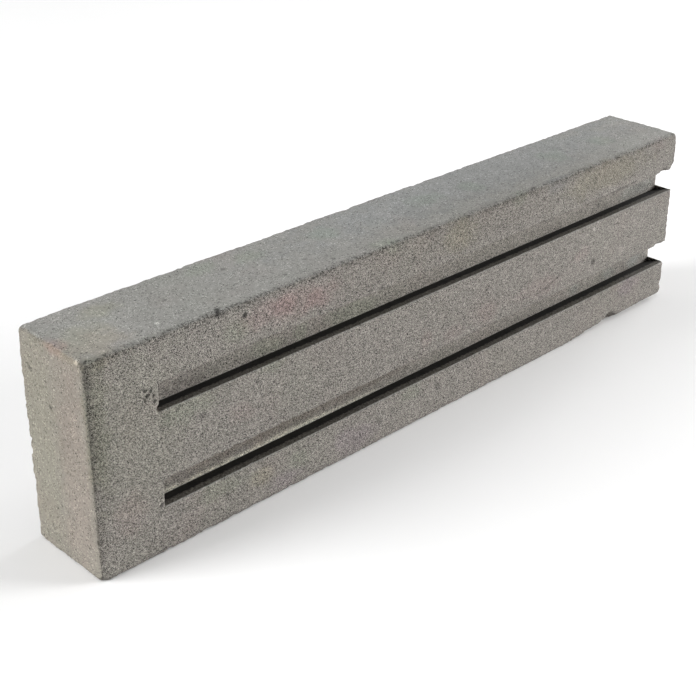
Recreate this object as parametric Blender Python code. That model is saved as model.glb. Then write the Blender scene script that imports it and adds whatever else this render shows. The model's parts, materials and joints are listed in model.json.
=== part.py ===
"""Grooved bench whetstone: one solid block of bonded abrasive stone, standing on a long narrow edge.

Units are metres and +Z is up. +X runs along the length, the grooved face looks along -Y, and the origin is
the middle of the underside. Two grooves run in from the right-hand end (+X) and stop short of the left-hand
end, so a strip laid in them is held at one end and slides out at the other.
"""

import math

import bmesh
import bpy

# Driving dimensions of the block.
LENGTH = 0.200
THICKNESS = 0.0232
HEIGHT = 0.051
WORN_RADIUS = 0.0016  # the top and upright edges, rounded by use
SOLE_RADIUS = 0.0006  # the edges round the underside, still fairly crisp
EDGE_SEGMENTS = 4

# Driving dimensions of the grooves, which share one section.
GROOVE_HEIGHT = 0.0065  # from the lip up to the ceiling
GROOVE_DEPTH = 0.0056
GROOVE_FLOOR_DROP = 0.0015  # how far the floor falls from its lip to the back wall
GROOVE_STOP = 0.0165  # solid stone between the closed end and the left-hand end
GROOVE_LIP_HEIGHTS = {"lower_groove": 0.0114, "upper_groove": 0.0342}
CUTTER_OVERSHOOT = 0.004  # how far a cutter sticks out of the block

STONE_COLOR = (0.235, 0.225, 0.200, 1.0)
STONE_ROUGHNESS = 0.92


def clear_scene():
    """Remove the objects that a new file starts with."""
    for obj in list(bpy.data.objects):
        bpy.data.objects.remove(obj, do_unlink=True)


def stone_material():
    """Matt grey abrasive stone."""
    material = bpy.data.materials.new("grey_abrasive_stone")
    material.use_nodes = True
    shader = material.node_tree.nodes["Principled BSDF"]
    shader.inputs["Base Color"].default_value = STONE_COLOR
    shader.inputs["Roughness"].default_value = STONE_ROUGHNESS
    shader.inputs["Metallic"].default_value = 0.0
    return material


def object_from_bmesh(name, mesh_builder):
    """Write a bmesh to a new object in the scene."""
    mesh = bpy.data.meshes.new(name)
    mesh_builder.to_mesh(mesh)
    mesh_builder.free()
    obj = bpy.data.objects.new(name, mesh)
    bpy.context.collection.objects.link(obj)
    return obj


def is_sole_edge(edge):
    """Whether both ends of an edge lie on the underside."""
    return all(vert.co.z < SOLE_RADIUS / 2 for vert in edge.verts)


def round_edges(mesh_builder, edges, radius):
    """Round edges to an arc of the given radius."""
    bmesh.ops.bevel(
        mesh_builder,
        geom=edges,
        offset=radius,
        offset_type="OFFSET",
        segments=EDGE_SEGMENTS,
        profile=0.5,
        affect="EDGES",
    )


def make_block():
    """The stone before it is grooved: a cuboid with worn upper edges and a crisper underside."""
    builder = bmesh.new()
    bmesh.ops.create_cube(builder, size=1.0)
    bmesh.ops.scale(builder, vec=(LENGTH, THICKNESS, HEIGHT), verts=builder.verts)
    bmesh.ops.translate(builder, vec=(0.0, 0.0, HEIGHT / 2), verts=builder.verts)
    round_edges(builder, [edge for edge in builder.edges if not is_sole_edge(edge)], WORN_RADIUS)
    round_edges(builder, [edge for edge in builder.edges if is_sole_edge(edge)], SOLE_RADIUS)
    return object_from_bmesh("whetstone_block", builder)


def groove_section(lip_height):
    """Outline of a groove cutter as (y, z) points, anticlockwise seen from +X."""
    front = -THICKNESS / 2
    wall = front + GROOVE_DEPTH
    outside = front - CUTTER_OVERSHOOT
    floor_slope = GROOVE_FLOOR_DROP / GROOVE_DEPTH
    ceiling = lip_height + GROOVE_HEIGHT
    return [
        (outside, lip_height + floor_slope * CUTTER_OVERSHOOT),
        (wall, lip_height - GROOVE_FLOOR_DROP),
        (wall, ceiling),
        (outside, ceiling),
    ]


def make_groove_cutter(name, lip_height):
    """A prism along X, from the groove's closed end to beyond the right-hand end."""
    closed_end = -LENGTH / 2 + GROOVE_STOP
    open_end = LENGTH / 2 + CUTTER_OVERSHOOT
    builder = bmesh.new()
    profile = [builder.verts.new((closed_end, y, z)) for y, z in groove_section(lip_height)]
    cap = builder.faces.new(reversed(profile))
    swept = bmesh.ops.extrude_face_region(builder, geom=[cap])
    swept_verts = [item for item in swept["geom"] if isinstance(item, bmesh.types.BMVert)]
    bmesh.ops.translate(builder, vec=(open_end - closed_end, 0.0, 0.0), verts=swept_verts)
    bmesh.ops.recalc_face_normals(builder, faces=builder.faces)
    cutter = object_from_bmesh(name + "_cutter", builder)
    cutter.hide_render = True
    cutter.display_type = "WIRE"
    return cutter


def cut(obj, cutter):
    """Cut one object out of another with a Boolean modifier."""
    modifier = obj.modifiers.new(cutter.name, "BOOLEAN")
    modifier.operation = "DIFFERENCE"
    modifier.solver = "EXACT"
    modifier.object = cutter


def main():
    clear_scene()
    block = make_block()
    block.data.materials.append(stone_material())
    block.data.shade_smooth()
    block.data.set_sharp_from_angle(angle=math.radians(30.0))
    for name, lip_height in GROOVE_LIP_HEIGHTS.items():
        cut(block, make_groove_cutter(name, lip_height))


main()
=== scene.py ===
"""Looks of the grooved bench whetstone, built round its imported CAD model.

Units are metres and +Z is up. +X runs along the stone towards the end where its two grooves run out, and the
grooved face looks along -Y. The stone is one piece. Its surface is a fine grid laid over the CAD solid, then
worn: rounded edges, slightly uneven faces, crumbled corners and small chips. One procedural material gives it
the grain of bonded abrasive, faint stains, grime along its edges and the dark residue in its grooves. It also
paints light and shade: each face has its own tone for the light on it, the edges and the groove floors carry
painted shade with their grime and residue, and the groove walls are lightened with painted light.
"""

import json
import math
import random

import bpy
import numpy as np
from mathutils import Matrix, Vector, noise


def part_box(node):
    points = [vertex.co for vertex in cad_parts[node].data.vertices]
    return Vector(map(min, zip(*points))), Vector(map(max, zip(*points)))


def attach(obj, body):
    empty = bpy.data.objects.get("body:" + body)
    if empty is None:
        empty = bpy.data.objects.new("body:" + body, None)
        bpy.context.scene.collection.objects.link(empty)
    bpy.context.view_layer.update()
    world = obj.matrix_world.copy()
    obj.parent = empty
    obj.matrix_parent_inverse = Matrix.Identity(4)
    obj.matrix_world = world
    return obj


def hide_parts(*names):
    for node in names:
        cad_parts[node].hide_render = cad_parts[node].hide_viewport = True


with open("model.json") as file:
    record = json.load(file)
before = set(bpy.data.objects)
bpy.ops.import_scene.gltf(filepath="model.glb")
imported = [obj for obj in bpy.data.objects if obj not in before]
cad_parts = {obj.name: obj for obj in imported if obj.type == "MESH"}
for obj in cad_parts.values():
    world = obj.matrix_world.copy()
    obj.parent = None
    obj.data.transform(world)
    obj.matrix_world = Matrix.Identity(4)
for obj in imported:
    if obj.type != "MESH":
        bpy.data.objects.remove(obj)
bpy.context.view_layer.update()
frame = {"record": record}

MM = 0.001

# The solid, from the frame.
NODE = "whetstone_block"
LOW, HIGH = (np.array(corner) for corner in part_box(NODE))
OPENING_CLEARANCE = 0.1 * MM  # the record's groove boxes keep this far from the stone
FLOOR_DROP = 1.5 * MM  # how far a groove's floor falls from its lip to the back wall

# The grid over the solid: fine beside its edges, coarser in the middle of its faces.
FINE_STEP = 0.32 * MM
COARSE_STEP = 0.82 * MM
STEP_GROWTH = 0.16

# Wear.
WORN_RADIUS = 1.05 * MM  # the upper edges
UPRIGHT_RADIUS = 0.7 * MM  # the four upright edges
HANDLED_RADIUS = 1.35 * MM  # the upper edge of the plain end, which is picked up and rubbed most
SOLE_RADIUS = 0.6 * MM
EDGE_BLEND = 3.0 * MM  # how far along an edge one radius takes to turn into the next
WORN_SOLE_RADIUS = 2.7 * MM  # the lower front edge, in its last stretch before the open end
WORN_SOLE_START = 155 * MM
WORN_SOLE_FULL = 172 * MM
RADIUS_SWING = 0.3  # how much a radius varies along its edge, as a share of it
END_LEAN = 2.1 * MM  # how far the open end leans from its foot to its top
LEAN_PIVOT = 0.24  # the height, as a share of the whole, at which the open end stays in place
LIP_RELAX_REACH = 0.5 * MM
LIP_RELAX_SHARE = 0.35
RELIEF = ((16.0 * MM, 0.10 * MM), (4.0 * MM, 0.05 * MM), (1.3 * MM, 0.035 * MM))  # wavelength, height
PILLOW_REACH = 5.0 * MM  # the grooved face falls away a little beside the plain end
PILLOW_DEPTH = 0.3 * MM
ARRIS_REACH = 2.2 * MM  # how far from an outer edge the stone crumbles and takes up grime and painted shade
CRUMBLE = 0.16 * MM
CRUMBLE_SIZE = 0.8 * MM
CHIP_ROUGHNESS = 0.28 * MM
UNEVEN_LENGTH = 6.0 * MM  # the wavelength at which the edges' radius varies
RAGGED_LENGTH = 0.9 * MM  # the wavelength of the raggedness of a chip

# Small chips: how many along each kind of edge, and how far inside the sharp edge their middles lie.
SMALL_CHIP_RADII = (0.5 * MM, 1.25 * MM)
CHIPS_PER_TOP_EDGE = 46
CHIPS_PER_SOLE_EDGE = 34
CHIPS_PER_CROSS_EDGE = 7
CHIPS_PER_UPRIGHT_EDGE = 18
CHIPS_PER_LIP = 34
TOP_CHIP_INSET = 0.45 * MM
SOLE_CHIP_INSET = 0.15 * MM
UPRIGHT_CHIP_INSET = 0.4 * MM

# The dirt and painted shade in a groove, as kept in a mask: the floor darkens towards the back wall, where
# the shade is deepest.
# Depths are shares of the groove's own depth.
BACK_DIRT_AND_SHADE = 0.6  # where the floor meets the back wall
BACK_START = 0.97
WALL_DIRT_AND_SHADE = -1.0  # on the wall, so that the dirt and painted shade end close to the floor
WALL_START = 0.9
DIRT_AND_SHADE_END = 1.1  # a little past the wall, on the open end
FLOOR_TOLERANCE = 0.12 * MM  # how far from the floor a point still belongs to it

# The grit of the stone. Sizes in the material are in millimetres.
GRAIN_SIZE = 0.12
GRAIN_CONTRAST = 1.1
STRAY_GRAIN_SIZE = 0.3
STRAY_GRAIN_CONTRAST = 0.6
RELIEF_GRAIN_SIZE = 0.22
RELIEF_GRAIN_HEIGHT = 0.03 * MM

# Its colours. The tones of the grooved face, the top and the plain end are painted light: each face has its
# own tint and brightness for the light that falls on it.
FRONT_TONE = (0.202, 0.188, 0.170, 1.0)
TOP_TONE = (0.252, 0.250, 0.235, 1.0)
END_TONE = (0.214, 0.199, 0.170, 1.0)
PINK_CLOUD = (1.06, 0.96, 0.97, 1.0)
GREEN_CLOUD = (0.96, 1.01, 0.95, 1.0)
# A grime film that also paints shade on the rounded edges, and the dark of the pits there.
GRIME_AND_SHADE_FILM = (0.105, 0.10, 0.09, 1.0)
GRIME_PIT = (0.045, 0.042, 0.037, 1.0)
# Brown crust and a nearly black residue for the groove floors, which also paint the shade there.
DARK_CRUST_AND_SHADE = (0.055, 0.050, 0.042, 1.0)
LIGHT_CRUST_AND_SHADE = (0.17, 0.157, 0.135, 1.0)
RESIDUE_AND_SHADE = (0.005, 0.0045, 0.004, 1.0)

# The camera.
SENSOR = 36.0
LENS = 68.5
CAMERA_AZIMUTH = 44.9
CAMERA_ELEVATION = 27.81
CAMERA_ROLL = 0.84
CAMERA_DISTANCE = 0.3183
CAMERA_AIM = Vector((-0.0190, 0.0, 0.0209))

# The studio.
WORLD_FILL = 0.04  # even light from all round
BACKDROP = 1.0  # what the camera sees past the floor
FLOOR_REACH = 1.1  # metres from the stone to each side of the floor
FLOOR_GAP = 0.05 * MM  # between the floor and the stone
FLOOR_SHADES = (0.92, 0.94)
LIGHT_DISTANCE = 1.5  # metres


def grooves_of(record):
    """Closed end, back wall, lip height and ceiling height of each groove, from the record's openings."""
    found = []
    for opening in record["physics"]["openings"]:
        (x_low, _, z_low), (_, y_high, z_high) = opening["box_m"]
        found.append(
            {
                "closed_end": x_low - OPENING_CLEARANCE,
                "wall": y_high + OPENING_CLEARANCE,
                "lip": z_low - OPENING_CLEARANCE,
                "ceiling": z_high + OPENING_CLEARANCE,
            }
        )
    return sorted(found, key=lambda groove: groove["lip"])


GROOVES = grooves_of(frame["record"])
FRONT = LOW[1]


# ---------------------------------------------------------------- the grid over the solid


def grid_lines(stops):
    """Grid lines through every stop, close together beside a stop and further apart away from it."""
    lines = [stops[0]]
    for start, end in zip(stops, stops[1:]):
        half = (end - start) / 2
        offsets = [0.0]
        while offsets[-1] < half:
            offsets.append(offsets[-1] + min(COARSE_STEP, FINE_STEP + STEP_GROWTH * offsets[-1]))
        offsets = np.array(offsets) * half / offsets[-1]
        lines.extend(start + offsets[1:])
        lines.extend(end - offsets[-2::-1])
    return np.array(lines)


def filled_cells(lines):
    """Which cells of the grid are stone: all but those in the grooves."""
    x, y, z = ((axis[1:] + axis[:-1]) / 2 for axis in lines)
    filled = np.ones((len(x), len(y), len(z)), bool)
    for groove in GROOVES:
        along = x > groove["closed_end"]
        inward = y < groove["wall"]
        upward = (z > groove["lip"]) & (z < groove["ceiling"])
        filled &= ~(along[:, None, None] & inward[None, :, None] & upward[None, None, :])
    return filled


def outer_quads(filled):
    """Grid corners, as index triples, of every face between stone and air, wound to face outwards."""
    padded = np.pad(filled, 1)
    quads = []
    for axis in range(3):
        order = (axis, (axis + 1) % 3, (axis + 2) % 3)
        cells = np.transpose(padded, order)[:, 1:-1, 1:-1]
        for outward in (True, False):
            stone = cells[:-1] if outward else cells[1:]
            air = cells[1:] if outward else cells[:-1]
            i, j, k = np.nonzero(stone & ~air)
            corners = np.empty((len(i), 4, 3), int)
            for corner, (dj, dk) in enumerate(((0, 0), (1, 0), (1, 1), (0, 1))):
                corners[:, corner, order[0]] = i
                corners[:, corner, order[1]] = j + dj
                corners[:, corner, order[2]] = k + dk
            quads.append(corners if outward else corners[:, ::-1])
    return np.concatenate(quads)


def welded(quads, lines):
    """Vertex positions and the quads that join them."""
    counts = [len(axis) for axis in lines]
    flat = np.ravel_multi_index(tuple(quads.reshape(-1, 3).T), counts)
    used, index = np.unique(flat, return_inverse=True)
    picked = np.unravel_index(used, counts)
    points = np.stack([axis[i] for axis, i in zip(lines, picked)], axis=1)
    return points, index.reshape(-1, 4)


def solid_surface():
    """The plain block with its two grooves as a fine quad mesh."""
    x_stops = [LOW[0], GROOVES[0]["closed_end"], HIGH[0]]
    y_stops = [FRONT, GROOVES[0]["wall"], HIGH[1]]
    z_stops = [LOW[2], *(groove[edge] for groove in GROOVES for edge in ("lip", "ceiling")), HIGH[2]]
    lines = [grid_lines(stops) for stops in (x_stops, y_stops, z_stops)]
    return welded(outer_quads(filled_cells(lines)), lines)


# ---------------------------------------------------------------- wear


def smoothstep(low, high, value):
    """0 below low, 1 above high, and a smooth rise between."""
    t = np.clip((value - low) / (high - low), 0.0, 1.0)
    return t * t * (3 - 2 * t)


def noise_at(points, wavelength, seed):
    """Smooth noise between about -1 and 1 at each point."""
    shift = Vector((17.3 * seed, -9.1 * seed, 5.7 * seed))
    return np.array([noise.noise(Vector(point) / wavelength + shift) for point in points])


def groove_mask(points, groove, slack=1e-7):
    """Which points lie on the surface inside a groove."""
    x, y, z = points.T
    return (
        (x >= groove["closed_end"] - slack)
        & (y > FRONT + slack)
        & (y <= groove["wall"] + slack)
        & (z >= groove["lip"] - slack)
        & (z <= groove["ceiling"] + slack)
    )


def slope_groove_floors(points):
    """Lower each groove's floor towards the back wall, taking the wall and the closed end with it."""
    for groove in GROOVES:
        inside = groove_mask(points, groove)
        depth = (points[inside, 1] - FRONT) / (groove["wall"] - FRONT)
        stretch = 1 + FLOOR_DROP * depth / (groove["ceiling"] - groove["lip"])
        points[inside, 2] = groove["ceiling"] - (groove["ceiling"] - points[inside, 2]) * stretch


def round_outer_edges(points, uneven):
    """Pull everything near the block's outer edges in onto a rounding of slightly varying radius."""
    above_sole = smoothstep(0.0, EDGE_BLEND, points[:, 2] - LOW[2])
    handled = 1 - smoothstep(0.0, 2 * EDGE_BLEND, np.maximum(points[:, 0] - LOW[0], HIGH[2] - points[:, 2]))
    near_top = smoothstep(-2 * EDGE_BLEND, -0.5 * EDGE_BLEND, points[:, 2] - HIGH[2])
    upper = WORN_RADIUS + (HANDLED_RADIUS - WORN_RADIUS) * handled
    upper = UPRIGHT_RADIUS + (upper - UPRIGHT_RADIUS) * near_top
    from_front = 1 - smoothstep(0.5 * EDGE_BLEND, 2 * EDGE_BLEND, points[:, 1] - FRONT)
    scuffed = from_front * smoothstep(WORN_SOLE_START, WORN_SOLE_FULL, points[:, 0] - LOW[0])
    sole = SOLE_RADIUS + (WORN_SOLE_RADIUS - SOLE_RADIUS) * scuffed
    radius = (sole + (upper - sole) * above_sole) * (1 + RADIUS_SWING * uneven)
    core = np.clip(points, LOW + radius[:, None], HIGH - radius[:, None])
    offset = points - core
    distance = np.linalg.norm(offset, axis=1)
    outside = distance > radius
    scale = radius[outside] / distance[outside]
    points[outside] = core[outside] + offset[outside] * scale[:, None]


def pillow_front(points):
    """Let the grooved face fall away towards the plain end."""
    near_end = 1 - smoothstep(0.0, 1.0, (points[:, 0] - LOW[0]) / PILLOW_REACH)
    on_front = 1 - smoothstep(0.0, 0.5, (points[:, 1] - FRONT) / PILLOW_REACH)
    points[:, 1] += PILLOW_DEPTH * near_end**2 * on_front


def lean_open_end(points):
    """Lean the open end, in at the top and out at the foot, as it was not cut off quite square."""
    along, _, height = ((points - LOW) / (HIGH - LOW)).T
    near_end = smoothstep(0.75, 1.0, along)
    points[:, 0] -= END_LEAN * near_end * (height - LEAN_PIVOT)


def neighbour_mean(points, quads):
    """The mean position of the vertices joined to each vertex."""
    ends = np.concatenate([quads[:, [i, (i + 1) % 4]] for i in range(4)])
    count = np.bincount(ends[:, 0], minlength=len(points))
    total = [np.bincount(ends[:, 0], points[ends[:, 1], axis], len(points)) for axis in range(3)]
    return np.stack(total, axis=1) / count[:, None]


def vertex_normals(points, quads):
    """Area-weighted unit normals."""
    corner = points[quads]
    face = np.cross(corner[:, 2] - corner[:, 0], corner[:, 3] - corner[:, 1])
    total = [
        sum(np.bincount(quads[:, i], face[:, axis], len(points)) for i in range(4)) for axis in range(3)
    ]
    normals = np.stack(total, axis=1)
    return normals / np.linalg.norm(normals, axis=1)[:, None]


def groove_edge_distance(points):
    """How far each point is from the nearest lip, ceiling or closed-end edge of a groove."""
    nearest = np.full(len(points), 1.0)
    for groove in GROOVES:
        in_length = np.maximum(groove["closed_end"] - points[:, 0], 0.0)
        from_front = np.abs(points[:, 1] - FRONT)
        for height in (groove["lip"], groove["ceiling"]):
            gap = np.abs(points[:, 2] - height)
            nearest = np.minimum(nearest, np.sqrt(in_length**2 + from_front**2 + gap**2))
        outside = np.maximum(groove["lip"] - points[:, 2], points[:, 2] - groove["ceiling"])
        gap = np.hypot(points[:, 0] - groove["closed_end"], np.maximum(outside, 0.0))
        nearest = np.minimum(nearest, np.hypot(gap, from_front))
    return nearest


def outer_edge_distance(points):
    """How far each point is from the nearest outer edge: the second smallest distance to the box's sides."""
    sides = np.minimum(points - LOW, HIGH - points)
    return np.sort(np.maximum(sides, 0.0), axis=1)[:, 1]


def relax_groove_edges(points, quads, distance):
    """Take the knife edge off the grooves' lips and ceilings."""
    share = LIP_RELAX_SHARE * (1 - smoothstep(0.0, LIP_RELAX_REACH, distance))
    points += share[:, None] * (neighbour_mean(points, quads) - points)


def roughen(points, quads, arris):
    """Give the faces the slight unevenness of a cast stone, and crumble its arrises."""
    height = sum(size * noise_at(points, length, seed) for seed, (length, size) in enumerate(RELIEF))
    height += CRUMBLE * arris * (noise_at(points, CRUMBLE_SIZE, 7) - 0.2)
    points += vertex_normals(points, quads) * height[:, None]


def bite(points, centre, radius, ragged):
    """Break a chip out: everything inside an uneven ball is pushed out onto it."""
    offset = points - centre
    distance = np.linalg.norm(offset, axis=1)
    reach = radius + CHIP_ROUGHNESS * ragged
    hit = (distance < reach) & (distance > 1e-9)
    points[hit] = centre + offset[hit] * (reach[hit] / distance[hit])[:, None]


# Chips that stand out, as (x, y, z, radius) in mm from the lower left front corner. A ball takes each one.
CHIPS = (
    (199.2, -0.1, 40.2, 2.3),  # lower end corner of the upper band
    (193.5, -1.7, 39.5, 2.9),
    (199.6, -1.2, 51.4, 2.6),  # upper end corner of the upper band
    (202.0, -1.9, 15.8, 4.2),  # lower end corner of the middle band
    (195.5, -1.9, 16.5, 3.0),
    (200.4, -0.7, 21.9, 1.2),
    (200.4, -0.7, 35.4, 1.9),  # upper end corners of the middle and lower bands
    (201.2, -0.8, 12.6, 2.6),
    (200.9, -0.7, 5.3, 1.3),
    (174.8, -1.5, -0.2, 3.7),  # along the bottom edge
    (171.5, -1.7, -0.8, 3.2),
    (158.0, -1.4, -1.0, 2.1),
    (164.8, -1.0, -0.4, 2.2),
    (181.5, -1.2, -0.7, 2.5),
    (190.5, -1.3, -0.6, 2.9),
    (-0.8, -1.2, -0.6, 2.9),
    (-6.0, -6.0, 57.0, 12.2),  # upper front corner of the plain end
    (204.5, 32.5, 57.0, 11.6),  # upper back corner of the open end
    (33.0, -0.6, 51.6, 1.1),  # across the upper front edge
    (31.6, -0.3, 51.3, 0.8),
    (33.4, 0.9, 51.8, 1.0),
    (40.2, -0.3, 11.3, 0.9),  # lip of the lower groove
    (-0.6, 21.9, 24.5, 1.3),  # back upright edge of the plain end
)


def chip_centres():
    """The chips that stand out, then small ones scattered along every edge."""
    draw = random.Random(11)
    for x, y, z, radius in CHIPS:
        yield LOW + np.array([x, y, z]) * MM, radius * MM
    for start, end, outward, count in scattered_edges():
        for _ in range(count):
            radius = draw.uniform(*SMALL_CHIP_RADII)
            at = start + (end - start) * draw.random()
            yield at + outward * radius * draw.uniform(0.55, 0.8), radius


def scattered_edges():
    """The edges that crumble, as (start, end, outward direction, number of chips)."""
    edges = []
    top = (HIGH[2], 1, TOP_CHIP_INSET, CHIPS_PER_TOP_EDGE)
    sole = (LOW[2], -1, SOLE_CHIP_INSET, CHIPS_PER_SOLE_EDGE)
    for z, sign_z, inset, count in (top, sole):
        for y, sign_y in ((LOW[1], -1), (HIGH[1], 1)):
            outward = np.array([0.0, sign_y, sign_z]) / math.sqrt(2)
            start = np.array([LOW[0], y, z]) - outward * inset
            end = np.array([HIGH[0], y, z]) - outward * inset
            edges.append((start, end, outward, count))
        for x, sign_x in ((LOW[0], -1), (HIGH[0], 1)):
            outward = np.array([sign_x, 0.0, sign_z]) / math.sqrt(2)
            start = np.array([x, LOW[1], z]) - outward * inset
            end = np.array([x, HIGH[1], z]) - outward * inset
            edges.append((start, end, outward, CHIPS_PER_CROSS_EDGE))
    for x, sign_x in ((LOW[0], -1), (HIGH[0], 1)):
        for y, sign_y in ((LOW[1], -1), (HIGH[1], 1)):
            outward = np.array([sign_x, sign_y, 0.0]) / math.sqrt(2)
            start = np.array([x, y, LOW[2]]) - outward * UPRIGHT_CHIP_INSET
            end = np.array([x, y, HIGH[2]]) - outward * UPRIGHT_CHIP_INSET
            edges.append((start, end, outward, CHIPS_PER_UPRIGHT_EDGE))
    for groove in GROOVES:
        for height, sign_z in ((groove["lip"], 1), (groove["ceiling"], -1)):
            outward = np.array([0.0, -1.0, sign_z]) / math.sqrt(2)
            start = np.array([groove["closed_end"], FRONT, height])
            end = np.array([HIGH[0], FRONT, height])
            edges.append((start, end, outward, CHIPS_PER_LIP))
    return edges


# Dirt and painted shade on the groove floors, deepening towards the back wall.
def groove_dirt(points):
    """Rises from 0 at a groove's lip to 1 near the back of its floor; below 0 on the groove walls."""
    dirt_and_shade = np.zeros(len(points))
    for groove in GROOVES:
        depth = (points[:, 1] - FRONT) / (groove["wall"] - FRONT)
        above_floor = points[:, 2] - groove["lip"] + FLOOR_DROP * depth
        inside = (depth < DIRT_AND_SHADE_END) & (points[:, 0] > groove["closed_end"] - FLOOR_TOLERANCE)
        on_floor = inside & (np.abs(above_floor) < FLOOR_TOLERANCE)
        below_ceiling = points[:, 2] < groove["ceiling"]
        on_wall = inside & (depth > WALL_START) & (above_floor > FLOOR_TOLERANCE) & below_ceiling
        dirt_and_shade[on_floor] = np.clip(depth[on_floor], 0, 1)
        dirt_and_shade[on_floor & (depth > BACK_START)] = BACK_DIRT_AND_SHADE
        dirt_and_shade[on_wall] = WALL_DIRT_AND_SHADE
    return dirt_and_shade


def worn_smooth(normals):
    """1 on the top edge and the ends, which are handled and rubbed and lit evenly, and 0 on the broad faces,
    whose stronger grit partly paints the shading of raking light.
    """
    return smoothstep(0.55, 0.9, np.maximum(normals[:, 2], np.abs(normals[:, 0])))


# Tints of the stains and of patches of painted light and shade, as factors on the red, green and blue of the
# stone.
PINK = (1.05, 0.955, 0.975)
ROSE = (1.025, 0.975, 0.985)
GREEN = (0.955, 1.005, 0.95)
YELLOW = (1.01, 1.01, 0.93)
BLUE = (0.965, 0.99, 1.03)
TEAL = (0.985, 1.035, 1.05)
# Painted light on the groove walls near the open end.
OPEN_END_LIGHT = (1.1, 1.12, 1.13)
LILAC = (1.01, 0.97, 1.04)
# Painted shade on the back wall of the lower groove, under its ceiling.
WALL_SHADE = (0.76, 0.73, 0.71)
SHADE = (0.93, 0.925, 0.92)
MOSS = (0.985, 1.005, 0.97)
# Grime and painted shade on the grooved face beside the plain end's edge.
GRIME_AND_SHADE = (0.86, 0.88, 0.83)
PALE = (1.08, 1.08, 1.08)
# Painted light on the groove walls, lightening them where shade falls.
WALL_LIGHT = (1.24, 1.24, 1.22)
# Painted light on the lower groove's back wall, just above its floor.
WALL_FOOT_LIGHT = (2.0, 2.06, 1.94)

# Stains and lighter and darker patches, some of them painted light and shade, as (middle and half size along
# the stone, middle and half size across it, tint), in mm from the lower left front corner.
FRONT_STAINS_AND_SHADING = (
    (1.5, 3.5, 38, 24, GRIME_AND_SHADE),
    (10, 18, 32, 24, MOSS),
    (8, 5, 13, 6, ROSE),
    (51.5, 16, 46.5, 4.5, PINK),
    (50, 4, 47, 3, PINK),
    (60, 5, 45, 3, PINK),
    (25, 9, 32, 3, GREEN),
    (47, 5, 33.5, 2, GREEN),
    (37, 4, 45, 3, GREEN),
    (83, 3, 50, 2.5, GREEN),
    (129, 3, 50, 2.5, GREEN),
    (37.5, 4, 25.5, 3, ROSE),
    (96.5, 3, 22, 2.5, ROSE),
    (106, 4, 20.5, 2.5, ROSE),
    (119, 5, 22, 3, ROSE),
    (140, 11, 22, 3.5, ROSE),
    (158, 4, 26.5, 2.5, ROSE),
    (43, 4, 6.5, 3, YELLOW),
    (50.5, 6, 3, 2.5, LILAC),
    (72, 8, 4.5, 4, LILAC),
    (31.5, 8, 9, 3, GREEN),
    (54, 4, 6.5, 3.5, GREEN),
    (91, 5, 9.5, 2.5, GREEN),
    (106.5, 7, 47, 5, YELLOW),
    (144, 6, 50, 3, BLUE),
    (166, 21, 47, 5, YELLOW),
    (191, 4, 50, 2.5, ROSE),
    (175.5, 3, 11, 2.5, ROSE),
    (182, 5, 9.5, 3.5, LILAC),
    # Painted shade on the upper part of the grooved face.
    (92, 45, 46, 6, SHADE),
    (150, 70, 48, 7, SHADE),
    # Painted light on the right and lower parts of the grooved face.
    (175, 32, 26, 9, PALE),
    (100, 110, 4, 7, PALE),
)
# On the groove walls: mostly painted light, which lightens them where shade falls, painted shade under the
# lower groove's ceiling, and green and teal stains.
WALL_SHADING_AND_STAINS = (
    (100, 110, 35, 7, WALL_LIGHT),
    (100, 110, 13, 7, WALL_LIGHT),
    (100, 110, 32.7, 2, PALE),
    (185, 35, 11.5, 4, PALE),
    (172, 32, 35, 3, PALE),
    (50, 6, 34.5, 3, GREEN),
    (60, 2.5, 34.5, 3, GREEN),
    (75, 10, 34.5, 3, GREEN),
    (58, 46, 13.9, 2.9, WALL_SHADE),
    (47, 45, 10.43, 0.74, WALL_FOOT_LIGHT),
    (164, 2.5, 12, 3, TEAL),
    (180, 4, 12, 3, TEAL),
    (192, 4, 12, 3, TEAL),
    (190, 9, 35, 3, TEAL),
    (194, 7, 11.5, 3, OPEN_END_LIGHT),
    (195, 6, 34.5, 3, OPEN_END_LIGHT),
)
TOP_STAINS_AND_SHADING = (
    (10, 12, 11, 14, PALE),
    (5, 9, 7, 9, YELLOW),
    (7, 8, 5, 6, ROSE),
    (1, 2.5, 11, 4, PINK),
    (15, 6, 17, 3, YELLOW),
    (43, 5, 19, 3, GREEN),
    (55, 5, 17, 3, GREEN),
    (76, 5, 15, 4, GREEN),
    (82, 4, 2, 2.5, GREEN),
    (109, 7, 13.5, 4, GREEN),
    (124, 4, 12, 4, GREEN),
    (157, 5, 12, 5, GREEN),
    (178, 5, 11, 4, GREEN),
    (130, 75, 15, 12, BLUE),
    # Painted shade on the top, towards its front edge.
    (115, 60, 3, 9, SHADE),
    (140, 50, 8, 14, SHADE),
    (194.5, 4, 16.5, 3.5, PALE),
    (189, 6, 6, 2.5, PALE),
)
END_STAINS_AND_SHADING = (
    (6, 7, 24, 30, ROSE),
    (18, 8, 26, 34, MOSS),
    (10.5, 3, 50.5, 2, ROSE),
    # Painted light low on the plain end, and painted shade high on it.
    (5, 6, 5, 10, PALE),
    (12, 16, 42, 22, SHADE),
)
PATCH_DEPTH = 2.5  # how far a patch reaches through the surface it lies on
PATCH_EDGE = (0.4, 1.15)  # where a patch starts to fade and where it ends, as shares of its half size


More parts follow.
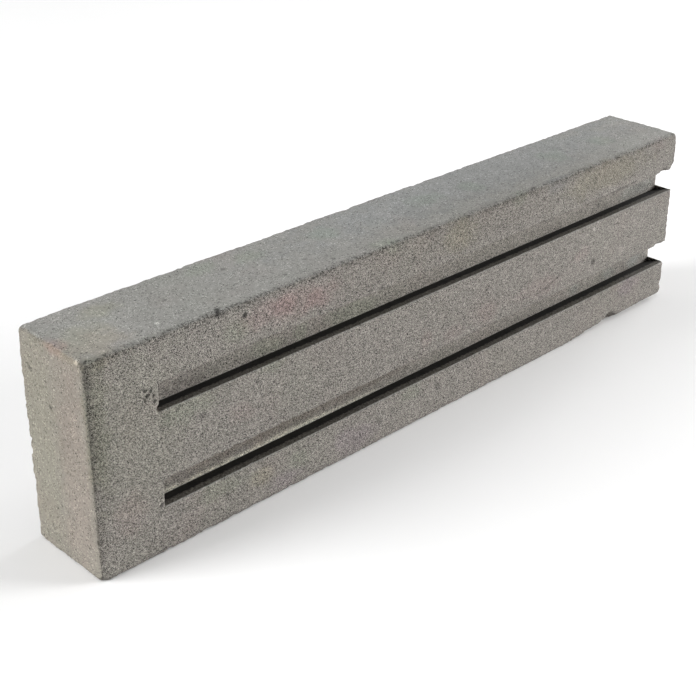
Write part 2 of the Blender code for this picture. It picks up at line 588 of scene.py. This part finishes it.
def stains():
    """Every stain and every patch of painted light and shade as the middle and half size of a blob in space,
    and its tint.
    """
    wall = (GROOVES[0]["wall"] - FRONT) / MM
    top = (HIGH[2] - LOW[2]) / MM
    for plane, listed in ((0.0, FRONT_STAINS_AND_SHADING), (wall, WALL_SHADING_AND_STAINS)):
        for x, half_x, z, half_z, tint in listed:
            yield (x, plane, z), (half_x, PATCH_DEPTH, half_z), tint
    for x, half_x, y, half_y, tint in TOP_STAINS_AND_SHADING:
        yield (x, y, top), (half_x, half_y, PATCH_DEPTH), tint
    for y, half_y, z, half_z, tint in END_STAINS_AND_SHADING:
        yield (0.0, y, z), (PATCH_DEPTH, half_y, half_z), tint


def stain_and_shading_colors(points):
    """The tint of each point, from every stain and patch of painted light and shade that covers it."""
    place = (points - LOW) / MM
    broken = 0.35 * noise_at(points, 3.5 * MM, 9) + 0.2 * noise_at(points, 1.2 * MM, 10)
    colors = np.ones((len(points), 3))
    for middle, half, tint in stains():
        gap = np.linalg.norm((place - middle) / half, axis=1) + broken
        share = 1 - smoothstep(*PATCH_EDGE, gap)
        colors *= 1 + share[:, None] * (np.array(tint) - 1)
    return colors


FACING = (0.5, 0.9)  # the part of a normal along an axis at which a face starts to count, and counts fully


def write_mask(mesh, name, values):
    """Keep one number a vertex on the mesh, for the material."""
    attribute = mesh.attributes.new(name, "FLOAT", "POINT")
    attribute.data.foreach_set("value", values.astype(np.float32))


def write_colors(mesh, name, colors):
    """Keep one colour a vertex on the mesh, for the material."""
    attribute = mesh.attributes.new(name, "FLOAT_COLOR", "POINT")
    opaque = np.column_stack([colors, np.ones(len(colors))])
    attribute.data.foreach_set("color", opaque.astype(np.float32).ravel())


def whetstone_surface():
    """The worn stone as one object, with masks for its arrises, the dirt and painted shade in its grooves,
    and its stains and patches of painted light and shade.
    """
    points, quads = solid_surface()
    arris = 1 - smoothstep(0.0, ARRIS_REACH, outer_edge_distance(points))
    groove_gap = groove_edge_distance(points)
    slope_groove_floors(points)
    # Dirt and painted shade of the groove floors.
    dirt_and_shade = groove_dirt(points)
    tints = stain_and_shading_colors(points)
    pillow_front(points)
    round_outer_edges(points, noise_at(points, UNEVEN_LENGTH, 4))
    lean_open_end(points)
    relax_groove_edges(points, quads, groove_gap)
    roughen(points, quads, arris)
    normals = vertex_normals(points, quads)
    ragged = noise_at(points, RAGGED_LENGTH, 5)
    for centre, radius in chip_centres():
        bite(points, centre, radius, ragged)
    mesh = bpy.data.meshes.new("whetstone_surface")
    mesh.from_pydata(points.tolist(), [], quads.tolist())
    mesh.update()
    mesh.shade_smooth()
    write_mask(mesh, "arris", arris)
    write_mask(mesh, "groove_dirt", dirt_and_shade)
    # Where the grit is weaker: smooth faces, and partly painted shading, as the light rakes only across the
    # broad faces.
    write_mask(mesh, "worn_smooth", worn_smooth(normals))
    # The top and plain-end masks choose the tones that paint the light on those faces.
    write_mask(mesh, "top", smoothstep(*FACING, normals[:, 2]))
    write_mask(mesh, "plain_end", smoothstep(*FACING, -normals[:, 0]))
    # Stains with patches of painted light and shade.
    write_colors(mesh, "stains", tints)
    obj = bpy.data.objects.new("whetstone_surface", mesh)
    bpy.context.scene.collection.objects.link(obj)
    return obj


# ---------------------------------------------------------------- materials


def add_node(tree, kind, inputs=None, **settings):
    """A shader node with its settings made and its inputs linked or set."""
    made = tree.nodes.new(kind)
    for name, value in settings.items():
        setattr(made, name, value)
    for name, value in (inputs or {}).items():
        if isinstance(value, bpy.types.NodeSocket):
            tree.links.new(value, made.inputs[name])
        else:
            made.inputs[name].default_value = value
    return made


def new_material(name):
    """An empty material with its output node."""
    material = bpy.data.materials.new(name)
    material.use_nodes = True
    material.node_tree.nodes.clear()
    output = material.node_tree.nodes.new("ShaderNodeOutputMaterial")
    return material, material.node_tree, output


def math_node(tree, operation, a, b=0.0, clamp=False):
    """The result of one arithmetic step."""
    return add_node(
        tree, "ShaderNodeMath", {0: a, 1: b}, operation=operation, use_clamp=clamp
    ).outputs[0]


def vector_node(tree, operation, a, b=None, output=0, **inputs):
    """The result of one step of vector arithmetic."""
    linked = {0: a, **inputs}
    if b is not None:
        linked[1] = b
    return add_node(tree, "ShaderNodeVectorMath", linked, operation=operation).outputs[output]


def remap(tree, value, from_low, from_high, to_low, to_high):
    """A value mapped from one range to another, and held inside it."""
    return add_node(
        tree,
        "ShaderNodeMapRange",
        {
            "Value": value,
            "From Min": from_low,
            "From Max": from_high,
            "To Min": to_low,
            "To Max": to_high,
        },
    ).outputs[0]


def mixed(tree, factor, a, b, blend="MIX"):
    """Two colours mixed."""
    return add_node(
        tree, "ShaderNodeMix", {"Factor": factor, 6: a, 7: b}, data_type="RGBA", blend_type=blend
    ).outputs[2]


def grey(level):
    """A neutral colour."""
    return (level, level, level, 1.0)


def stone_coordinates(tree):
    """Position in millimetres from the lower left front corner of the stone."""
    place = add_node(tree, "ShaderNodeTexCoord").outputs["Object"]
    from_corner = vector_node(tree, "SUBTRACT", place, tuple(LOW))
    return vector_node(tree, "SCALE", from_corner, Scale=1 / MM)


def cloud(tree, place, size, detail=2.0):
    """Soft noise between 0 and 1 with features of the given size in millimetres."""
    return add_node(
        tree, "ShaderNodeTexNoise", {"Vector": place, "Scale": 1.0 / size, "Detail": detail}
    ).outputs["Fac"]


# Dark spots and light flecks, as (x, y, z, radius, brightness), in mm from the lower left front corner.
SPOTS = (
    (27.5, 0, 29, 0.7, 0.6),
    (21, 0, 33, 0.5, 0.65),
    (94.5, 0, 16.5, 0.8, 0.55),
    (107, 0, 21.8, 0.5, 0.6),
    (122.7, 0, 23, 0.6, 0.55),
    (122.5, 0, 26, 0.5, 0.65),
    (124.5, 0, 19.3, 0.5, 0.6),
    (88.6, 0, 19, 0.5, 0.6),
    (86.3, 0, 17.5, 0.5, 0.65),
    (79.9, 0, 41.3, 0.5, 0.6),
    (101, 0, 7.5, 0.8, 0.6),
    (80.4, 0, 5.8, 0.8, 0.65),
    (15.5, 0, 10.2, 0.5, 0.6),
    (33, 0, 7, 0.5, 0.65),
    (144.8, 0, 45.2, 0.5, 0.6),
    (138.8, 0, 47, 0.5, 0.6),
    (160.5, 0, 45.8, 0.5, 0.6),
    (163.5, 0, 22.3, 0.9, 0.45),
    (39.4, 0, 48, 0.6, 0.18),
    (13.2, 0, 38.0, 0.4, 0.25),
    (13.9, 0, 38.9, 0.45, 0.2),
    (14.7, 0, 39.7, 0.4, 0.25),
    (15.3, 0, 38.4, 0.4, 0.2),
    (13.4, 0, 40.2, 0.4, 0.35),
    (15.6, 0, 37.0, 0.4, 0.25),
    (46.5, 15.5, 51, 0.6, 0.6),
    (68, 3.5, 51, 0.5, 0.6),
    (28, 11.8, 51, 0.4, 0.6),
    (54.5, 4.3, 51, 0.4, 0.6),
    (0, 13.3, 36.3, 0.5, 0.45),
    (0, 16.2, 50.5, 0.5, 0.55),
    (0, 19.7, 42.7, 0.5, 0.5),
    (0, 20.3, 43.4, 0.3, 0.5),
    (162.5, 0, 32.2, 0.5, 1.7),
    (172.5, 0, 31.8, 0.7, 1.3),
    (176.5, 0, 21.5, 1.2, 1.15),
    (0, 2.8, 50.6, 0.7, 2.0),
    (20.5, 4.5, 51, 0.5, 1.7),
    (40.2, 0, 48.2, 0.4, 1.4),
)

# Cracks and scratches, as (one end, other end, half width, brightness), in mm from the same corner.
CRACKS = (
    ((33.2, 1.4, 51), (32.2, 0, 50.4), 0.45, 0.25),
    ((138, 0, 20.4), (142.5, 0, 20.8), 0.3, 0.75),
    ((143.5, 0, 21.0), (148.5, 0, 23.2), 0.35, 0.7),
    ((150, 0, 24.2), (155.5, 0, 26.8), 0.3, 0.8),
    ((94, 0, 23.2), (101, 0, 21.8), 0.2, 0.75),
    ((42, 0, 31.2), (44, 0, 31.1), 0.2, 0.65),
    ((16.4, 0, 12.4), (15.5, 0, 12.1), 0.25, 0.4),
    ((172, 0, 30.9), (173.4, 0, 30.9), 0.2, 0.5),
    ((168.5, 0, 41), (180, 0, 41.4), 0.2, 0.6),
    ((168.5, 0, 41.5), (180, 0, 41.9), 0.2, 1.15),
)


def crack_distance(tree, place, start, end):
    """How far each point is from the straight line between two points."""
    along = np.subtract(end, start)
    offset = vector_node(tree, "SUBTRACT", place, start)
    reached = vector_node(tree, "DOT_PRODUCT", offset, tuple(along / (along @ along)), output="Value")
    held = math_node(tree, "ADD", reached, 0.0, clamp=True)
    nearest = vector_node(tree, "SCALE", tuple(along), Scale=held)
    return vector_node(tree, "DISTANCE", offset, nearest, output="Value")


def marks(tree, place):
    """Brightness of the surface at each spot, fleck and crack, and 1 elsewhere."""
    wobble = add_node(tree, "ShaderNodeTexNoise", {"Vector": place, "Scale": 1.6}).outputs["Color"]
    shifted = vector_node(tree, "SUBTRACT", wobble, (0.5, 0.5, 0.5))
    place = vector_node(tree, "ADD", place, shifted)
    drawn = [
        (vector_node(tree, "DISTANCE", place, (x, y, z), output="Value"), radius, brightness)
        for x, y, z, radius, brightness in SPOTS
    ]
    drawn += [
        (crack_distance(tree, place, start, end), width, brightness)
        for start, end, width, brightness in CRACKS
    ]
    level = None
    for distance, radius, brightness in drawn:
        shown = remap(tree, distance, 0.7 * radius, 1.5 * radius, brightness, 1.0)
        level = shown if level is None else math_node(tree, "MULTIPLY", level, shown)
    return level


def stone_tone(tree, place):
    """The colour of the stone without its grit: warm grey, cooler on top, with soft clouds and stains; the
    tones by facing and part of the stains are painted light and shade.
    """
    # Painted light: the top and the plain end get their own tones.
    tone = mixed(tree, attribute(tree, "top"), FRONT_TONE, TOP_TONE)
    tone = mixed(tree, attribute(tree, "plain_end"), tone, END_TONE)
    pink = remap(tree, cloud(tree, place, 14.0, 3.0), 0.52, 0.75, 0.0, 0.35)
    tone = mixed(tree, pink, tone, PINK_CLOUD, "MULTIPLY")
    shifted = vector_node(tree, "ADD", place, (31.0, 7.0, 13.0))
    green = remap(tree, cloud(tree, shifted, 18.0, 3.0), 0.5, 0.75, 0.0, 0.35)
    tone = mixed(tree, green, tone, GREEN_CLOUD, "MULTIPLY")
    # Stains and painted light and shade, kept on the mesh.
    stain_and_shading = add_node(tree, "ShaderNodeAttribute", attribute_name="stains").outputs["Color"]
    return mixed(tree, 1.0, tone, stain_and_shading, "MULTIPLY")


def attribute(tree, name):
    """A mask that the mesh carries."""
    return add_node(tree, "ShaderNodeAttribute", attribute_name=name).outputs["Fac"]


def grit_strength(tree, place, along):
    """How strongly the grit shows: least where the stone is rubbed smooth and lit evenly, and less towards
    the open end. The stronger grit of the broad faces is partly painted shading of raking light.
    """
    patches = remap(tree, cloud(tree, place, 2.2), 0.42, 0.6, 0.93, 0.45)
    less_grit = math_node(tree, "MULTIPLY", attribute(tree, "worn_smooth"), patches)
    grit = math_node(tree, "SUBTRACT", 1.0, less_grit)
    return math_node(tree, "MULTIPLY", grit, remap(tree, along["X"], 110.0, 170.0, 1.0, 0.78))


def stone_brightness(tree, place, along):
    """The light and dark of the stone: broad mottling, small clumps, single grains, spots and cracks."""
    mottle = remap(tree, cloud(tree, place, 5.0, 3.0), 0.3, 0.7, 0.955, 1.045)
    clump = remap(tree, cloud(tree, place, 0.8), 0.25, 0.75, 0.97, 1.03)
    level = math_node(tree, "MULTIPLY", mottle, clump)
    level = math_node(tree, "MULTIPLY", level, speckle(tree, place, grit_strength(tree, place, along)))
    return math_node(tree, "MULTIPLY", level, marks(tree, place))


def with_grime_and_shade(tree, place, along, color):
    """Grime and painted shade on the arrises: a thin film and dark pits, most of it high up, in front, near
    the plain end.
    """
    higher = remap(tree, along["Z"], 5.0, 45.0, 0.4, 1.2)
    nearer = remap(tree, along["X"], 0.0, 110.0, 1.2, 0.8)
    outer = remap(tree, along["Y"], 1.5, 4.0, 1.0, 0.25)
    often = math_node(tree, "MULTIPLY", outer, math_node(tree, "MULTIPLY", higher, nearer))
    grimy_and_shaded = math_node(tree, "MULTIPLY", attribute(tree, "arris"), often)
    smears = remap(tree, cloud(tree, place, 1.4), 0.3, 0.7, 0.3, 1.0)
    film = math_node(tree, "MULTIPLY", grimy_and_shaded, smears)
    color = mixed(tree, remap(tree, film, 0.05, 0.9, 0.0, 0.45), color, GRIME_AND_SHADE_FILM)
    holes = remap(tree, cloud(tree, place, 0.55, 1.0), 0.56, 0.64, 0.0, 1.0)
    pits = math_node(tree, "MULTIPLY", grimy_and_shaded, holes)
    return mixed(tree, remap(tree, pits, 0.2, 0.8, 0.0, 0.75), color, GRIME_PIT)


def with_residue_and_shade(tree, place, color):
    """Brown crust on the floors of the grooves, under a nearly black residue towards the back; together they
    also paint the shade that deepens towards the back wall.
    """
    dirt_and_shade = attribute(tree, "groove_dirt")
    crust_and_shade = remap(tree, cloud(tree, place, 0.45, 3.0), 0.4, 0.62, 0.0, 1.0)
    brown = mixed(tree, crust_and_shade, DARK_CRUST_AND_SHADE, LIGHT_CRUST_AND_SHADE)
    color = mixed(tree, remap(tree, dirt_and_shade, 0.0, 0.05, 0.0, 0.9), color, brown)
    ragged = remap(tree, cloud(tree, place, 0.7), 0.3, 0.7, -0.07, 0.07)
    black = math_node(tree, "ADD", dirt_and_shade, ragged)
    return mixed(tree, remap(tree, black, 0.36, 0.5, 0.0, 0.97), color, RESIDUE_AND_SHADE)


def stone_material():
    """Bonded abrasive: grains of many greys, faint stains, grimy arrises and residue in the grooves, with
    painted light and shade on its faces, arrises and grooves.
    """
    material, tree, output = new_material("abrasive_stone")
    place = stone_coordinates(tree)
    along = add_node(tree, "ShaderNodeSeparateXYZ", {"Vector": place}).outputs
    color = with_grime_and_shade(tree, place, along, stone_tone(tree, place))
    color = with_residue_and_shade(tree, place, color)
    color = vector_node(tree, "SCALE", color, Scale=stone_brightness(tree, place, along))
    relief = add_node(
        tree,
        "ShaderNodeBump",
        {"Height": grain_height(tree, place), "Strength": 1.0, "Distance": RELIEF_GRAIN_HEIGHT},
    )
    shader = add_node(
        tree,
        "ShaderNodeBsdfPrincipled",
        {
            "Base Color": color,
            "Roughness": remap(tree, cloud(tree, place, 1.2), 0.3, 0.7, 0.84, 0.97),
            "Normal": relief.outputs[0],
            "Specular IOR Level": 0.25,
        },
    )
    tree.links.new(shader.outputs[0], output.inputs["Surface"])
    return material


def grain_chance(tree, place, size):
    """A number between -1 and 1 for each grain of the given size."""
    cells = add_node(tree, "ShaderNodeTexVoronoi", {"Vector": place, "Scale": 1.0 / size})
    chance = add_node(tree, "ShaderNodeSeparateColor", {"Color": cells.outputs["Color"]}).outputs[0]
    return remap(tree, chance, 0.0, 1.0, -1.0, 1.0)


def speckle(tree, place, strength):
    """A brightness for each grain, about 1 on average, with a few stray light and dark grains."""
    fine = math_node(tree, "MULTIPLY", grain_chance(tree, place, GRAIN_SIZE), GRAIN_CONTRAST)
    fine = math_node(tree, "MULTIPLY", fine, strength)
    stray = math_node(tree, "POWER", grain_chance(tree, place, STRAY_GRAIN_SIZE), 7.0)
    stray = math_node(tree, "MULTIPLY", stray, STRAY_GRAIN_CONTRAST)
    swing = math_node(tree, "ADD", fine, stray)
    return math_node(tree, "ADD", swing, 1.0)


def grain_height(tree, place):
    """The grit's relief: small rounded grains with pores between them."""
    inputs = {"Vector": place, "Scale": 1.0 / RELIEF_GRAIN_SIZE}
    grains = add_node(tree, "ShaderNodeTexVoronoi", inputs, feature="SMOOTH_F1").outputs["Distance"]
    return math_node(tree, "SUBTRACT", cloud(tree, place, RELIEF_GRAIN_SIZE, 1.0), grains)


def floor_material():
    """Plain pale matt studio floor."""
    material, tree, output = new_material("pale_floor")
    place = stone_coordinates(tree)
    darker, lighter = FLOOR_SHADES
    tone = mixed(tree, cloud(tree, place, 60.0), grey(darker), grey(lighter))
    shader = add_node(
        tree, "ShaderNodeBsdfPrincipled", {"Base Color": tone, "Roughness": 0.9, "Specular IOR Level": 0.1}
    )
    tree.links.new(shader.outputs[0], output.inputs["Surface"])
    return material


# ---------------------------------------------------------------- studio


def make_floor():
    """A plain floor under the stone, as wide as the lights reach."""
    mesh = bpy.data.meshes.new("floor")
    corners = [(x * FLOOR_REACH, y * FLOOR_REACH, 0.0) for x, y in ((-1, -1), (1, -1), (1, 1), (-1, 1))]
    mesh.from_pydata(corners, [], [(0, 1, 2, 3)])
    obj = bpy.data.objects.new("floor", mesh)
    obj.location.z = LOW[2] - FLOOR_GAP
    obj.data.materials.append(floor_material())
    bpy.context.scene.collection.objects.link(obj)


def direction(azimuth, elevation):
    """Unit vector from the stone towards a place at that azimuth and elevation; azimuth 0 is in front."""
    around = math.radians(azimuth)
    up = math.radians(elevation)
    return Vector((math.sin(around) * math.cos(up), -math.cos(around) * math.cos(up), math.sin(up)))


# Name, azimuth, elevation, diameter in metres, and watts.
LIGHTS = (
    ("overhead", 0, 90, 1.4, 7.5),
    ("left", -115, 20, 1.0, 30.0),
    ("front_right", 50, 16, 0.7, 23.5),
    ("right_low", 90, 10, 1.0, 21.8),
)


def make_lights():
    """Large soft panels aimed at the stone."""
    centre = Vector((0.0, 0.0, HIGH[2] / 2))
    for name, azimuth, elevation, size, watts in LIGHTS:
        light = bpy.data.lights.new(name, "AREA")
        light.shape = "DISK"
        light.size = size
        light.energy = watts
        obj = bpy.data.objects.new(name, light)
        towards = direction(azimuth, elevation)
        obj.location = centre + towards * LIGHT_DISTANCE
        obj.rotation_euler = towards.to_track_quat("Z", "Y").to_euler()
        obj.visible_camera = False
        bpy.context.scene.collection.objects.link(obj)


def make_world():
    """An even, dim studio that the camera sees as a white backdrop, like the lit floor."""
    world = bpy.data.worlds.new("studio")
    bpy.context.scene.world = world
    world.use_nodes = True
    tree = world.node_tree
    tree.nodes.clear()
    output = tree.nodes.new("ShaderNodeOutputWorld")
    fill = add_node(tree, "ShaderNodeBackground", {"Color": grey(1.0), "Strength": WORLD_FILL})
    backdrop = add_node(tree, "ShaderNodeBackground", {"Color": grey(1.0), "Strength": BACKDROP})
    seen = add_node(tree, "ShaderNodeLightPath").outputs["Is Camera Ray"]
    both = add_node(tree, "ShaderNodeMixShader", {0: seen, 1: fill.outputs[0], 2: backdrop.outputs[0]})
    tree.links.new(both.outputs[0], output.inputs["Surface"])


def make_camera():
    """A camera at the viewing angle of the reference."""
    data = bpy.data.cameras.new("camera")
    data.sensor_width = SENSOR
    data.lens = LENS
    data.clip_start = 0.01
    data.clip_end = 50.0
    obj = bpy.data.objects.new("camera", data)
    back = direction(-CAMERA_AZIMUTH, CAMERA_ELEVATION)
    obj.location = CAMERA_AIM + back * CAMERA_DISTANCE
    level = back.to_track_quat("Z", "Y").to_matrix().to_4x4()
    obj.rotation_euler = (level @ Matrix.Rotation(math.radians(CAMERA_ROLL), 4, "Z")).to_euler()
    bpy.context.scene.collection.objects.link(obj)
    bpy.context.scene.camera = obj


def main():
    """Make the stone, tie it to the CAD model, and set it in the studio."""
    stone = whetstone_surface()
    stone.data.materials.append(stone_material())
    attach(stone, "root")
    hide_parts(NODE)
    make_floor()
    make_lights()
    make_world()
    make_camera()
    bpy.context.scene.view_settings.view_transform = "Standard"


main()
